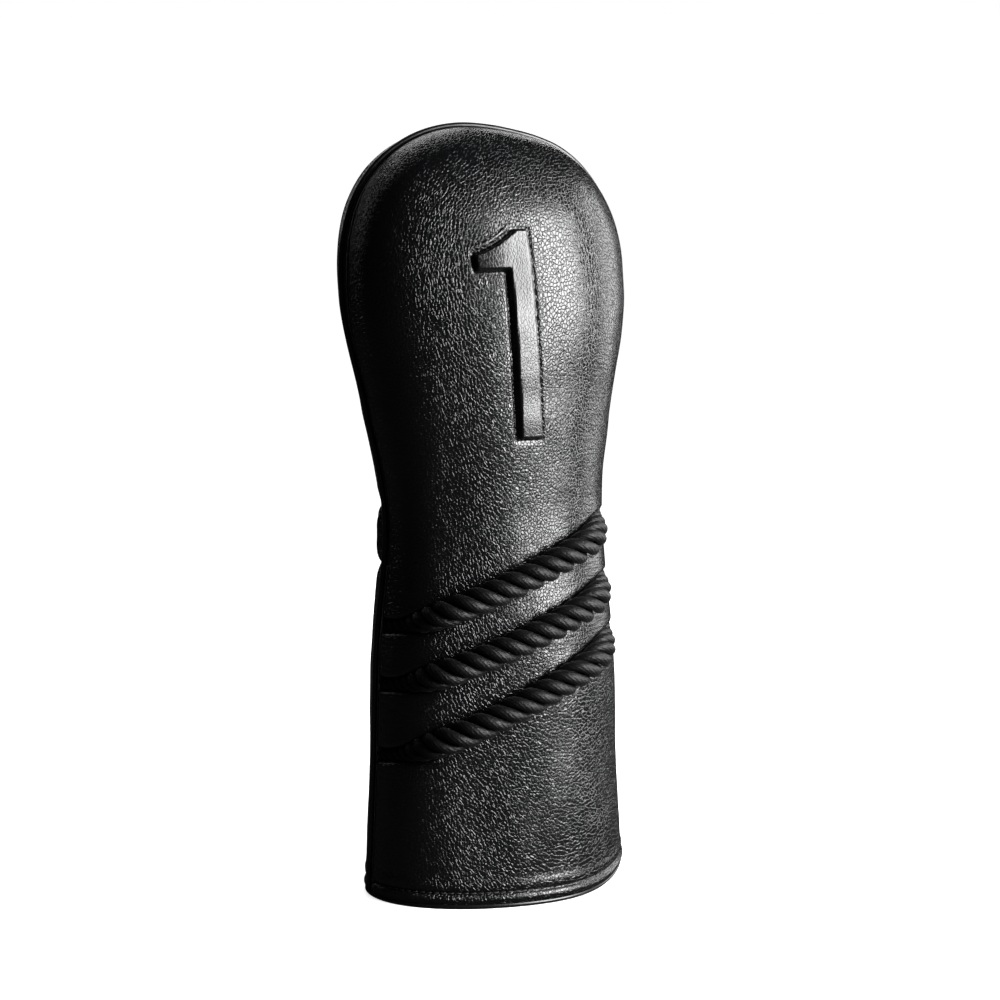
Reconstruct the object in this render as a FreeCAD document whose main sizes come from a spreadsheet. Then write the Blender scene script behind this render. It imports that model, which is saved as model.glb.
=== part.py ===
import FreeCAD, Part
import math
import os

from FreeCAD import Vector

# Driver head cover. The front faces -Y, +Z is up, and the origin is the middle of the mouth.
# The wall is built from nested closed forms, each the outer form set in by a distance.

os.makedirs("parts", exist_ok=True)
doc = FreeCAD.newDocument("driver_head_cover")

SIZES = {
    "overall_height": 335,
    # cross-sections from the mouth up to the widest part of the head
    "level_1": 0, "level_2": 55, "level_3": 110, "level_4": 165, "level_5": 215, "level_6": 262,
    "half_width_1": 58.2, "half_width_2": 55.6, "half_width_3": 53.6,
    "half_width_4": 48.6, "half_width_5": 54.8, "half_width_6": 62.4,
    "front_depth_1": 42.5, "front_depth_2": 41.6, "front_depth_3": 41.2,
    "front_depth_4": 39.0, "front_depth_5": 42.6, "front_depth_6": 45.7,
    "back_depth_1": 40.4, "back_depth_2": 42.0, "back_depth_3": 43.2,
    "back_depth_4": 38.7, "back_depth_5": 42.0, "back_depth_6": 45.1,
    "lean_start": 150, "lean_fade": 60, "lean_per_height": 0.041,
    "corner_power_mouth": 2.1, "corner_power_head": 2.35,
    "crown_width_power": 2.54, "crown_width_root": 2.22,
    "crown_depth_power": 2.25, "crown_depth_root": 2.0,
    # layers of the wall
    "leather": 1.4, "padding": 2.8, "lining": 2.0,
    # gathered waist
    "elastic_bottom": 145.4, "elastic_width": 25.4,
    "gather_notch": 1.6, "gather_puff": 1.2, "gather_fade": 7,
    # piping
    "piping_radius": 1.2, "piping_cord_radius": 0.7, "piping_gap": 1.22,
    # hem
    "binding_height": 2.2, "binding_proud": 0.5, "facing_height": 16, "facing": 1.4,
    "hem_stitch_level": 6, "stitch_length": 2.4, "stitch_pitch": 3.3,
    "thread_radius": 0.35, "thread_clear": 0.06,
    # ropes, laid in tilted planes across the front
    "strand_radius": 2.7, "strand_offset": 3.75, "rope_lay": 25.5,
    "rope_sink": 0.8, "rope_end_drop": 3.0, "rope_end_run": 30,
    "rope_upper_level": 144.2, "rope_upper_rise": 0.456,
    "rope_middle_level": 118.0, "rope_middle_rise": 0.43,
    "rope_lower_level": 90.6, "rope_lower_rise": 0.49,
    # raised numeral
    "numeral_base": 204.6, "numeral_height": 87.4, "numeral_right": 7.2, "numeral_stem": 10.6,
    "numeral_flag_reach": 13.5, "numeral_flag_low": 14.9, "numeral_flag_high": 9.5,
    "numeral_top": 6.1, "numeral_sag": 1.3, "numeral_lean": 4.7, "numeral_relief": 3.0,
}

sheet = doc.addObject("Spreadsheet::Sheet", "Sizes")
for row, (alias, value) in enumerate(SIZES.items(), start=1):
    sheet.set(f"A{row}", alias)
    sheet.set(f"B{row}", str(value))
    sheet.setAlias(f"B{row}", alias)
doc.recompute()


def size(alias):
    return float(sheet.get(alias))


def sizes(prefix):
    return [size(f"{prefix}_{number}") for number in range(1, 7)]


LEVELS = sizes("level")
HALF_WIDTHS = sizes("half_width")
FRONT_DEPTHS = sizes("front_depth")
BACK_DEPTHS = sizes("back_depth")
HEIGHT = size("overall_height")
HEAD_LEVEL = LEVELS[-1]
LEATHER = size("leather")
PADDED = LEATHER + size("padding")
LINED = PADDED + size("lining")
FACED = PADDED + size("facing")
ELASTIC_BOTTOM = size("elastic_bottom")
ELASTIC_TOP = ELASTIC_BOTTOM + size("elastic_width")
REACH = 120  # half-size of the boxes that split the forms


# --- the outer form -----------------------------------------------------------------------

def along(values, level):
    """Smooth curve through the values at the levels."""
    span = 0
    while span < len(LEVELS) - 2 and level > LEVELS[span + 1]:
        span += 1
    slopes = []
    for end in (span, span + 1):
        low = max(end - 1, 0)
        high = min(end + 1, len(LEVELS) - 1)
        slopes.append((values[high] - values[low]) / (LEVELS[high] - LEVELS[low]))
    if span + 1 == len(LEVELS) - 1:
        slopes[1] = 0
    width = LEVELS[span + 1] - LEVELS[span]
    t = (level - LEVELS[span]) / width
    start = (1 + 2 * t) * (1 - t) ** 2 * values[span] + t * (1 - t) ** 2 * width * slopes[0]
    finish = t * t * (3 - 2 * t) * values[span + 1] - t * t * (1 - t) * width * slopes[1]
    return start + finish


def lean(level):
    over = max(level - size("lean_start"), 0)
    return -size("lean_per_height") * over * min(1, over / size("lean_fade"))


def gather(level):
    """How far the gathered waist of the back panel stands out (+) or is drawn in (-)."""
    middle = (ELASTIC_BOTTOM + ELASTIC_TOP) / 2
    half = (ELASTIC_TOP - ELASTIC_BOTTOM) / 2
    away = abs(level - middle)
    if away <= half:
        share = away / half
        return size("gather_puff") * (1 - share ** 2) - size("gather_notch") * share ** 4
    return -size("gather_notch") * max(0, 1 - (away - half) / size("gather_fade")) ** 2


def form_point(level, angle, inset, gathered=False, closing=None):
    """Point of the outer form, set in by the inset. Angle 0 is +X and 270 degrees is the front.

    The closing share, when given, replaces the width and depth shares of the crown.
    """
    crown = max(0, (level - HEAD_LEVEL) / (HEIGHT - HEAD_LEVEL))
    low = min(level, HEAD_LEVEL)
    wide = max(0, 1 - crown ** size("crown_width_power")) ** (1 / size("crown_width_root"))
    deep = max(0, 1 - crown ** size("crown_depth_power")) ** (1 / size("crown_depth_root"))
    if closing is not None:
        wide = deep = closing
    power = size("corner_power_mouth")
    power += (size("corner_power_head") - power) * min(1, level / HEAD_LEVEL)
    cosine = round(math.cos(angle), 9)
    sine = round(math.sin(angle), 9)
    out = -inset
    if gathered and sine > 0:
        out += gather(level) * min(1, 4 * sine)
    depths = BACK_DEPTHS if sine > 0 else FRONT_DEPTHS
    half_width = (along(HALF_WIDTHS, low) + out) * wide
    depth = (along(depths, low) + out) * deep
    x = lean(level) + half_width * math.copysign(abs(cosine) ** (2 / power), cosine)
    y = depth * math.copysign(abs(sine) ** (2 / power), sine)
    return Vector(x, y, level - inset * crown)


BODY_LEVELS = [HEAD_LEVEL * step / 26 for step in range(27)]
PUFF_STEP = size("elastic_width") / 8
PUFF_LEVELS = [ELASTIC_BOTTOM + PUFF_STEP * step for step in range(-3, 12)]
BELOW_PUFF = [level for level in BODY_LEVELS if level < PUFF_LEVELS[0] - PUFF_STEP]
ABOVE_PUFF = [level for level in BODY_LEVELS if level > PUFF_LEVELS[-1] + PUFF_STEP]
CROWN_ANGLES = [math.radians(angle) for angle in range(8, 80, 8)]
CROWN_LEVELS = [HEAD_LEVEL + (HEIGHT - HEAD_LEVEL) * math.sin(angle) for angle in CROWN_ANGLES]
CLOSING_SHARES = (0.22, 0.1, 0.03)
AROUND = [math.radians(angle) for angle in range(0, 360, 6)]


def skin(rings, spans_per_face):
    """Closed solid with a smooth side through rings of poles, cut into faces, and two flat ends."""
    degree = 3
    spans = len(rings) - degree
    along_counts = [degree + 1] + [1] * (spans - 1) + [degree + 1]
    around_counts = [1] * (len(rings[0]) + 1)
    surface = Part.BSplineSurface()
    surface.buildFromPolesMultsKnots(
        rings, along_counts, around_counts, list(range(spans + 1)), list(range(len(around_counts))),
        False, True, degree, degree,
    )
    faces = []
    for start in range(0, spans, spans_per_face):
        stretch = surface.copy()
        stretch.segment(start, min(start + spans_per_face, spans), 0, len(rings[0]))
        faces.append(stretch.toShape())
    for end in (surface.uIso(0), surface.uIso(spans)):
        faces.append(Part.Face(Part.Wire(end.toShape())))
    shell = Part.Shell(faces)
    shell.sewShape()
    return Part.Solid(shell)


def form(name, inset, gathered=False):
    """Closed solid bounded by the outer form set in by the inset."""
    body = BELOW_PUFF + PUFF_LEVELS + ABOVE_PUFF if gathered else BODY_LEVELS
    rings = [[form_point(level, angle, inset, gathered) for angle in AROUND] for level in body + CROWN_LEVELS]
    for share in CLOSING_SHARES:
        rings.append([form_point(HEIGHT, angle, inset, False, share) for angle in AROUND])
    solid = doc.addObject("Part::Feature", name)
    solid.Shape = skin(rings, len(rings))
    return solid


RING_POLES = 8
RING_SHARE = (2 + math.cos(2 * math.pi / RING_POLES)) / 3  # a cubic runs this far out to its poles


def tube(centres, sides, radius, spans_per_face):
    """Round bar along the centres. Each side vector says where its ring's first pole points."""
    rings = []
    for step, centre in enumerate(centres):
        before = centres[max(step - 1, 0)]
        after = centres[min(step + 1, len(centres) - 1)]
        ahead = (after - before).normalize()
        first = (sides[step] - ahead * sides[step].dot(ahead)).normalize()
        second = ahead.cross(first)
        ring = []
        for pole in range(RING_POLES):
            turn = 2 * math.pi * pole / RING_POLES
            ring.append(centre + (first * math.cos(turn) + second * math.sin(turn)) * (radius / RING_SHARE))
        rings.append(ring)
    return skin(rings, spans_per_face)


# --- helpers for the booleans --------------------------------------------------------------

def box(name, x, y, z, length, width, height):
    """Box whose corner and sides are numbers or expressions of the sheet."""
    block = doc.addObject("Part::Box", name)
    block.setExpression("Length", f"({length}) * 1mm")
    block.setExpression("Width", f"({width}) * 1mm")
    block.setExpression("Height", f"({height}) * 1mm")
    block.setExpression("Placement.Base.x", f"({x}) * 1mm")
    block.setExpression("Placement.Base.y", f"({y}) * 1mm")
    block.setExpression("Placement.Base.z", f"({z}) * 1mm")
    return block


def cut(name, base, tool):
    result = doc.addObject("Part::Cut", name)
    result.Base = base
    result.Tool = tool
    return result


def common(name, *pieces):
    result = doc.addObject("Part::MultiCommon", name)
    result.Shapes = list(pieces)
    return result


def fuse(name, *pieces):
    result = doc.addObject("Part::MultiFuse", name)
    result.Shapes = list(pieces)
    return result


def half_box(name, side, bottom, top, gap="0"):
    """Box on one side of the seam plane, between two levels. Side -1 is the front."""
    start = -REACH if side < 0 else gap
    return box(name, -REACH, start, bottom, 2 * REACH, f"{REACH} - {gap}", f"({top}) - ({bottom})")


# --- the nested forms ------------------------------------------------------------------------

outer_form = form("outer_form", 0, gathered=True)
leather_inside = form("leather_inside", LEATHER, gathered=True)
elastic_outside = form("elastic_outside", LEATHER + size("gather_notch"))
padding_inside = form("padding_inside", PADDED)
facing_inside = form("facing_inside", FACED)
lining_inside = form("lining_inside", LINED)
binding_outside = form("binding_outside", -size("binding_proud"))

BOTTOM = "Sizes.binding_height"
TOP = "Sizes.overall_height + 10"
ELASTIC_LOW = "Sizes.elastic_bottom"
ELASTIC_HIGH = "Sizes.elastic_bottom + Sizes.elastic_width"

# --- piping in the seam ------------------------------------------------------------------------


PIPING_STEPS = 48


def seam_line(inset):
    """Points of the side seam: up the left side, over the crown and down the right side."""
    levels = [size("binding_height") + 0.1] + BODY_LEVELS[1::2] + CROWN_LEVELS
    left = [form_point(level, math.pi, inset) for level in levels]
    right = [form_point(level, 0, inset) for level in levels]
    apex = form_point(HEIGHT, 0, inset, False, 0)
    curve = Part.BSplineCurve()
    curve.interpolate(left + [apex] + right[::-1])
    return curve.discretize(Number=PIPING_STEPS)


def roll(name, radius):
    """Round bar in the seam. It lies on the padding, between the edges of the two leather panels."""
    points = seam_line(LEATHER - size("piping_radius"))
    solid = doc.addObject("Part::Feature", name)
    solid.Shape = tube(points, [Vector(0, 1, 0)] * len(points), radius, len(points))
    return solid


piping_roll = roll("piping_roll", size("piping_radius"))
piping_cord = roll("piping_cord", size("piping_cord_radius"))
seam_piping = cut("seam_piping", piping_roll, piping_cord)

# --- raised numeral ----------------------------------------------------------------------------


def numeral_prism(name, grow):
    """Upright bar with a flag at the top left, leaned over, grown outwards by the given distance."""
    base = size("numeral_base") - grow
    top = size("numeral_base") + size("numeral_height") + grow
    right = size("numeral_right") + grow
    left = size("numeral_right") - size("numeral_stem") - grow
    tip = size("numeral_right") - size("numeral_stem") - size("numeral_flag_reach") - grow
    flag_low = size("numeral_base") + size("numeral_height") - size("numeral_flag_low") - grow
    flag_high = size("numeral_base") + size("numeral_height") - size("numeral_flag_high") + grow
    shoulder = size("numeral_right") - size("numeral_top") - grow

    def leaned(x, z):
        rise = z - size("numeral_base")
        return Vector(x - rise * math.tan(math.radians(size("numeral_lean"))), 0, z)

    tip_point = leaned(tip, flag_high)
    shoulder_point = leaned(shoulder, top)
    middle = (tip_point + shoulder_point) * 0.5 + Vector(0.4, 0, -1) * size("numeral_sag")
    corners = [leaned(tip, flag_low), leaned(left, flag_low), leaned(left, base)]
    corners += [leaned(right, base), leaned(right, top)]
    outline = [Part.Arc(shoulder_point, middle, tip_point).toShape()]
    previous = tip_point
    for corner in corners + [shoulder_point]:
        outline.append(Part.makeLine(previous, corner))
        previous = corner
    solid = doc.addObject("Part::Feature", name)
    solid.Shape = Part.Face(Part.Wire(outline)).extrude(Vector(0, -REACH, 0))
    return solid


RELIEF = size("numeral_relief")
raised_outside = form("raised_outside", -RELIEF)
raised_inside = form("raised_inside", LEATHER - RELIEF)
numeral_outline = numeral_prism("numeral_outline", 0)
filler_outline = numeral_prism("filler_outline", -LEATHER / 2)
numeral_hull = common("numeral_hull", raised_outside, numeral_outline)
filler_hull = common("filler_hull", raised_inside, filler_outline)
numeral_filler = cut("numeral_filler", filler_hull, leather_inside)

# --- ropes ---------------------------------------------------------------------------------------


ROPE_RADIUS = size("strand_radius") + size("strand_offset")
STEPS_PER_LAY = 9
HELIX_SHARE = (2 + math.cos(2 * math.pi / STEPS_PER_LAY)) / 3


def rope_line(level, rise):
    """A rope's centre line: in a tilted plane, bedded in the leather and deeper at both seams."""
    points = []
    steps = 24
    for step in range(steps + 1):
        angle = math.pi * (1 + (step + 0.5) / (steps + 1))
        spot = form_point(level, angle, 0)
        for _ in range(4):
            spot = form_point(level + rise * spot.x, angle, 0)
        to_seam = max(0, 1 - abs(spot.y) / size("rope_end_run"))
        height = ROPE_RADIUS - size("rope_sink") - size("rope_end_drop") * to_seam ** 2
        points.append(form_point(spot.z, angle, -height))
    curve = Part.BSplineCurve()
    curve.interpolate(points)
    laps = curve.length() / size("rope_lay")
    return curve.discretize(Number=round(laps * STEPS_PER_LAY) + 1)


def outward(point):
    """Roughly square to the leather at a point of the front, which is wider than it is deep."""
    width_to_depth = HALF_WIDTHS[3] / FRONT_DEPTHS[3]
    return Vector(point.x / width_to_depth ** 2, point.y, 0)


def strand(line, turn):
    """One strand of a right-laid rope, on a helix about the rope's centre line."""
    centres = []
    sides = []
    for step, centre in enumerate(line):
        ahead = (line[min(step + 1, len(line) - 1)] - line[max(step - 1, 0)]).normalize()
        out = outward(centre)
        out = (out - ahead * out.dot(ahead)).normalize()
        across = ahead.cross(out)
        spin = turn + 2 * math.pi * step / STEPS_PER_LAY
        sides.append(out * math.cos(spin) + across * math.sin(spin))
        centres.append(centre + sides[-1] * (size("strand_offset") / HELIX_SHARE))
    return tube(centres, sides, size("strand_radius"), 4)


ropes = []
rope_beds = []
for name in ("upper", "middle", "lower"):
    line = rope_line(size(f"rope_{name}_level"), size(f"rope_{name}_rise"))
    rope = doc.addObject("Part::Feature", f"rope_{name}")
    rope.Shape = Part.Compound([strand(line, turn * 2 * math.pi / 3) for turn in range(3)])
    ropes.append(rope)
    bed = doc.addObject("Part::Feature", f"rope_{name}_bed")
    bed.Shape = tube(line, [outward(point) for point in line], ROPE_RADIUS, len(line))
    rope_beds.append(bed)
beds = fuse("rope_beds", *rope_beds)

# --- leather panels --------------------------------------------------------------------------------

leather_shell = cut("leather_shell", outer_form, leather_inside)
front_side = half_box("front_side", -1, BOTTOM, TOP, "Sizes.piping_gap")
back_side = half_box("back_side", 1, BOTTOM, TOP, "Sizes.piping_gap")
front_shell = common("front_shell", leather_shell, front_side)
numeral_cap = cut("numeral_cap", numeral_hull, leather_inside)
front_raised = fuse("front_raised", front_shell, numeral_cap)
front_hollow = cut("front_hollow", front_raised, numeral_filler)
front_panel = cut("front_panel", front_hollow, beds)
back_panel = common("back_panel", leather_shell, back_side)

# --- padding, elastic, lining ---------------------------------------------------------------------

padding_shell = cut("padding_shell", leather_inside, padding_inside)
front_half = half_box("front_half", -1, BOTTOM, TOP)
skirt_half = half_box("skirt_half", 1, BOTTOM, ELASTIC_LOW)
head_half = half_box("head_half", 1, ELASTIC_HIGH, TOP)
front_pad = common("front_pad", padding_shell, front_half)
front_padding = cut("front_padding", front_pad, beds)
back_skirt_padding = common("back_skirt_padding", padding_shell, skirt_half)
back_head_padding = common("back_head_padding", padding_shell, head_half)

elastic_ring = cut("elastic_ring", elastic_outside, padding_inside)
elastic_half = half_box("elastic_half", 1, ELASTIC_LOW, ELASTIC_HIGH)
waist_elastic = common("waist_elastic", elastic_ring, elastic_half)

FACING_TOP = f"{BOTTOM} + Sizes.facing_height"
lining_shell = cut("lining_shell", padding_inside, lining_inside)
front_lining_half = half_box("front_lining_half", -1, FACING_TOP, TOP)
back_lining_half = half_box("back_lining_half", 1, FACING_TOP, TOP)
front_lining = common("front_lining", lining_shell, front_lining_half)
back_lining = common("back_lining", lining_shell, back_lining_half)

# --- hem ------------------------------------------------------------------------------------------------

facing_shell = cut("facing_shell", padding_inside, facing_inside)
facing_slab = box("facing_slab", -REACH, -REACH, BOTTOM, 2 * REACH, 2 * REACH, "Sizes.facing_height")
hem_facing = common("hem_facing", facing_shell, facing_slab)

binding_ring = cut("binding_ring", binding_outside, facing_inside)
binding_slab = box("binding_slab", -REACH, -REACH, 0, 2 * REACH, 2 * REACH, BOTTOM)
hem_binding = common("hem_binding", binding_ring, binding_slab)

# --- stitches ----------------------------------------------------------------------------------------------


def stitch_row(level, first_angle, last_angle, inset):
    """Row of short straight stitches lying on the leather at one level."""
    line = Part.BSplineCurve()
    count = 48
    turn = last_angle - first_angle
    points = [form_point(level, first_angle + turn * step / count, inset) for step in range(count + 1)]
    line.interpolate(points)
    length = line.length()
    stitches = round(length / size("stitch_pitch"))
    row = []
    for number in range(stitches):
        start = number * length / stitches
        ends = []
        for distance in (start, start + size("stitch_length")):
            ends.append(line.value(line.parameterAtDistance(distance, line.FirstParameter)))
        reach = ends[1] - ends[0]
        row.append(Part.makeCylinder(size("thread_radius"), reach.Length, ends[0], reach))
    return row


THREAD_CLEAR = size("thread_radius") + size("thread_clear")
hem_stitching = doc.addObject("Part::Feature", "hem_stitching")
hem_front_row = stitch_row(size("hem_stitch_level"), math.radians(183), math.radians(357), -THREAD_CLEAR)
hem_back_row = stitch_row(size("hem_stitch_level"), math.radians(3), math.radians(177), -THREAD_CLEAR)
hem_stitching.Shape = Part.Compound(hem_front_row + hem_back_row)
waist_stitching = doc.addObject("Part::Feature", "waist_stitching")
notch_inset = size("gather_notch") - THREAD_CLEAR
low_row = stitch_row(ELASTIC_BOTTOM, math.radians(20), math.radians(160), notch_inset)
high_row = stitch_row(ELASTIC_TOP, math.radians(20), math.radians(160), notch_inset)
waist_stitching.Shape = Part.Compound(low_row + high_row)

# --- sub-parts, checks and export -----------------------------------------------------------------------

SUB_PARTS = [
    front_panel, back_panel, seam_piping, piping_cord, numeral_filler, *ropes,
    front_padding, back_head_padding, back_skirt_padding, front_lining, back_lining,
    waist_elastic, waist_stitching, hem_binding, hem_facing, hem_stitching,
]

doc.recompute()
for part in doc.Objects:
    if "Invalid" in part.State or "Error" in part.State:
        raise RuntimeError(f"{part.Name} did not recompute: {part.State}")
for part in SUB_PARTS:
    if part.Shape.isNull() or not part.Shape.isValid():
        raise RuntimeError(f"{part.Label} has no valid shape")
    part.Shape.exportStep(f"parts/{part.Label}.step")
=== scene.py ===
import math
import random

import bmesh
import bpy
import numpy as np
from mathutils import Matrix, Vector, noise
from mathutils.bvhtree import BVHTree

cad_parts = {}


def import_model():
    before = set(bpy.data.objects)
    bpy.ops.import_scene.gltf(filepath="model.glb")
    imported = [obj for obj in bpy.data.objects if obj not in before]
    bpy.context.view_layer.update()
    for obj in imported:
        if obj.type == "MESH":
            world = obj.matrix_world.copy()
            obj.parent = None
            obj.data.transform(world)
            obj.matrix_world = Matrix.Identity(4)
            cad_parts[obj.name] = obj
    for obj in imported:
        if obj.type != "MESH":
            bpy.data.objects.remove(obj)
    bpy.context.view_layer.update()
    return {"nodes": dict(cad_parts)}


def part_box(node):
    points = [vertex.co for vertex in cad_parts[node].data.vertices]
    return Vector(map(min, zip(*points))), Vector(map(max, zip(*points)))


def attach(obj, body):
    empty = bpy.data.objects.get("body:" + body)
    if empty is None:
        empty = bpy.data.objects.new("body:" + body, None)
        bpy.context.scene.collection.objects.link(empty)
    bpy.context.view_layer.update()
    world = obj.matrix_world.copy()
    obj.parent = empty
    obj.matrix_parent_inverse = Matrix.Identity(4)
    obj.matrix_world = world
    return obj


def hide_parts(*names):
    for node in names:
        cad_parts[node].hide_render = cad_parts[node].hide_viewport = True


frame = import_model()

MM = 0.001
NODES = frame["nodes"]
random.seed(11)

# Layers of the wall and other sizes of the cover, as its CAD model has them.
LEATHER = 1.4 * MM
PADDING = 2.8 * MM
LINING = 2.0 * MM
PADDED = LEATHER + PADDING
LINED = PADDED + LINING
LEVELS = np.array([3, 55, 110, 165, 215, 262]) * MM  # where the wall's widths and depths are taken
HEIGHT = float(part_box("front_panel")[1][2])
HEM = float(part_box("hem_binding")[1][2])
HEAD = LEVELS[-1]
POWER_MOUTH, POWER_HEAD = 2.1, 2.35  # how square the cross section is: 2 is an ellipse
WIDE_POWER, WIDE_ROOT = 2.54, 2.22  # how the crown closes, seen from the front
DEEP_POWER, DEEP_ROOT = 2.25, 2.0  # and seen from the side
LEAN_FROM, LEAN_BLEND = 0.150, 0.060  # above this height the cover leans sideways
ELASTIC_LOW = float(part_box("waist_elastic")[0][2])
ELASTIC_HIGH = float(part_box("waist_elastic")[1][2])
ROPE_RADIUS = 6.45 * MM
ROPE_LAY = 24 * MM  # length of one turn of the strands
ROPE_THIN = 0.50  # share of its radius that a rope has at the seam
NUMERAL_LEAN = math.tan(math.radians(4.7))
NUMERAL_EDGE = 0.7 * MM  # the filler is this much smaller than the leather's raised outline
RELIEF = 3.0 * MM
HEM_STITCH = 7.0 * MM  # level of the topstitches

# What the visual pieces do, and the CAD model doesn't.
HEM_CURL = 12.0 * MM  # the mouth curls up a little at the right-hand seam
CURL_REACH, CURL_HEIGHT = 40, 0.070  # so many degrees round from the seam, and up to this height
SLUMP = 2.4 * MM  # the crown sinks a little to the right of its middle
SLUMP_MIDDLE, SLUMP_REACH = 13 * MM, 22 * MM


# --- the wall's shape, measured on the CAD lining -------------------------------------------------

def bvh(*names):
    """Tree of all faces of the named CAD nodes, for casting rays at them."""
    points, faces = [], []
    for name in names:
        mesh = NODES[name].data
        first = len(points)
        points += [vertex.co.copy() for vertex in mesh.vertices]
        faces += [[first + index for index in polygon.vertices] for polygon in mesh.polygons]
    return BVHTree.FromPolygons(points, faces)


def measure():
    """Half widths, front and back depths and the middle's x at each level."""
    tree = bvh("front_lining", "back_lining", "hem_facing")
    far = 0.3
    before_seam = -0.0002
    rows = []
    for level in LEVELS:
        left = tree.ray_cast(Vector((-far, before_seam, level)), Vector((1, 0, 0)))[0].x
        right = tree.ray_cast(Vector((far, before_seam, level)), Vector((-1, 0, 0)))[0].x
        middle = (left + right) / 2
        front = tree.ray_cast(Vector((middle, -far, level)), Vector((0, 1, 0)))[0].y
        back = tree.ray_cast(Vector((middle, far, level)), Vector((0, -1, 0)))[0].y
        rows.append(((right - left) / 2 + PADDED, PADDED - front, back + PADDED, middle))
    return np.array(rows).T


HALF_WIDTHS, FRONT_DEPTHS, BACK_DEPTHS, MIDDLES = measure()
TOP_MIDDLE = MIDDLES[-1] * (HEIGHT - LEAN_FROM) / (HEAD - LEAN_FROM)


def along(values, level):
    """Smooth curve through the values at the levels."""
    level = np.clip(level, LEVELS[0], HEAD)
    slopes = np.empty(len(LEVELS))
    slopes[1:-1] = (values[2:] - values[:-2]) / (LEVELS[2:] - LEVELS[:-2])
    slopes[0] = (values[1] - values[0]) / (LEVELS[1] - LEVELS[0])
    slopes[-1] = 0
    span = np.clip(np.searchsorted(LEVELS, level, side="right") - 1, 0, len(LEVELS) - 2)
    width = LEVELS[span + 1] - LEVELS[span]
    t = (level - LEVELS[span]) / width
    start = (1 + 2 * t) * (1 - t) ** 2 * values[span] + t * (1 - t) ** 2 * width * slopes[span]
    return start + t * t * (3 - 2 * t) * values[span + 1] - t * t * (1 - t) * width * slopes[span + 1]


def smooth(low, high, value):
    """Share that eases from 0 at low to 1 at high, which may also be below low."""
    share = np.clip((value - low) / (high - low), 0, 1)
    return share * share * (3 - 2 * share)


def wall(angle, level, out=0.0):
    """Points of the cover's outer form, moved out of it. Angle 0 is +X and 270 degrees the front.

    Above the head level, level goes on as HEAD plus the crown's height times a share of 0 to 1,
    and that share is the sine of the climb over the crown.
    """
    angle, level, out = np.broadcast_arrays(np.asarray(angle, float), level, out)
    crown = np.clip((level - HEAD) / (HEIGHT - HEAD), 0, 1)
    wide = np.clip(1 - crown ** WIDE_POWER, 0, 1) ** (1 / WIDE_ROOT)
    deep = np.clip(1 - crown ** DEEP_POWER, 0, 1) ** (1 / DEEP_ROOT)
    power = POWER_MOUTH + (POWER_HEAD - POWER_MOUTH) * np.clip(level / HEAD, 0, 1)
    cosine, sine = np.round(np.cos(angle), 9), np.round(np.sin(angle), 9)
    depth = np.where(sine > 0, along(BACK_DEPTHS, level), along(FRONT_DEPTHS, level))
    blend = np.clip((level - LEAN_FROM) / LEAN_BLEND, 0, 1)
    lean = TOP_MIDDLE / (HEIGHT - LEAN_FROM) * (level - LEAN_FROM) * blend
    x = lean + (along(HALF_WIDTHS, level) + out) * wide * np.sign(cosine) * np.abs(cosine) ** (2 / power)
    y = (depth + out) * deep * np.sign(sine) * np.abs(sine) ** (2 / power)
    from_right = np.minimum(np.degrees(angle) % 360, 360 - np.degrees(angle) % 360)
    near_mouth = np.clip(1 - level / CURL_HEIGHT, 0, 1)
    curl = HEM_CURL * np.exp(-(from_right / CURL_REACH) ** 2) * near_mouth ** 2
    slump = SLUMP * np.exp(-((x - SLUMP_MIDDLE) / SLUMP_REACH) ** 2) * crown ** 2
    return np.stack([x, y, level + out * crown + curl - slump], -1)


# --- ropes: where they run, and how they press into the wall --------------------------------------

ROPES = (  # node, its level at x = 0, and how much it rises per metre to the right
    ("rope_upper", 144.2 * MM, 0.456),
    ("rope_middle", 118.0 * MM, 0.43),
    ("rope_lower", 90.6 * MM, 0.49),
)


def level_on(angle, level, rise):
    """Where a rope's tilted plane meets the wall."""
    found = np.full(np.shape(angle), level)
    for _ in range(6):
        found = level + rise * wall(angle, found)[..., 0]
    return found


def from_seam(angle):
    """Degrees round from the nearer side seam: 0 at a seam and 90 at the middle of the front."""
    turned = np.degrees(np.asarray(angle, float)) % 180
    return np.minimum(turned, 180 - turned)


def rope_radius(angle):
    """The rope is squeezed where it is caught in the seam."""
    return ROPE_RADIUS * (ROPE_THIN + (1 - ROPE_THIN) * smooth(15, 58, from_seam(angle)))


def rope_out(angle):
    """How far the rope's centre stands out of the wall's form. It sinks in towards the seams."""
    at_seam, gained = -4.0, 8.4
    return (at_seam + gained * smooth(22, 63, from_seam(angle))) * MM


def press(angle, level):
    """How far the ropes push the front of the wall in."""
    point = wall(angle, level)
    front_depth = 0.041
    across = np.clip(np.abs(point[..., 1]) / front_depth, 0, 1)
    total = np.zeros(point.shape[:-1])
    radius, out = rope_radius(angle), rope_out(angle)
    depth = np.clip(radius - out, 0, None)
    narrowed = 0.8
    half = narrowed * np.sqrt(radius ** 2 - np.clip(out, 0, None) ** 2)
    for _, level_there, rise in ROPES:
        away = point[..., 2] - level_there - rise * point[..., 0]
        away = away / np.sqrt(1 + (rise * across) ** 2)
        total = np.maximum(total, depth * np.exp(-(away / half) ** 4))
    return total * smooth(1.5 * MM, 6 * MM, -point[..., 1])


# --- the raised numeral ---------------------------------------------------------------------------

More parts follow.
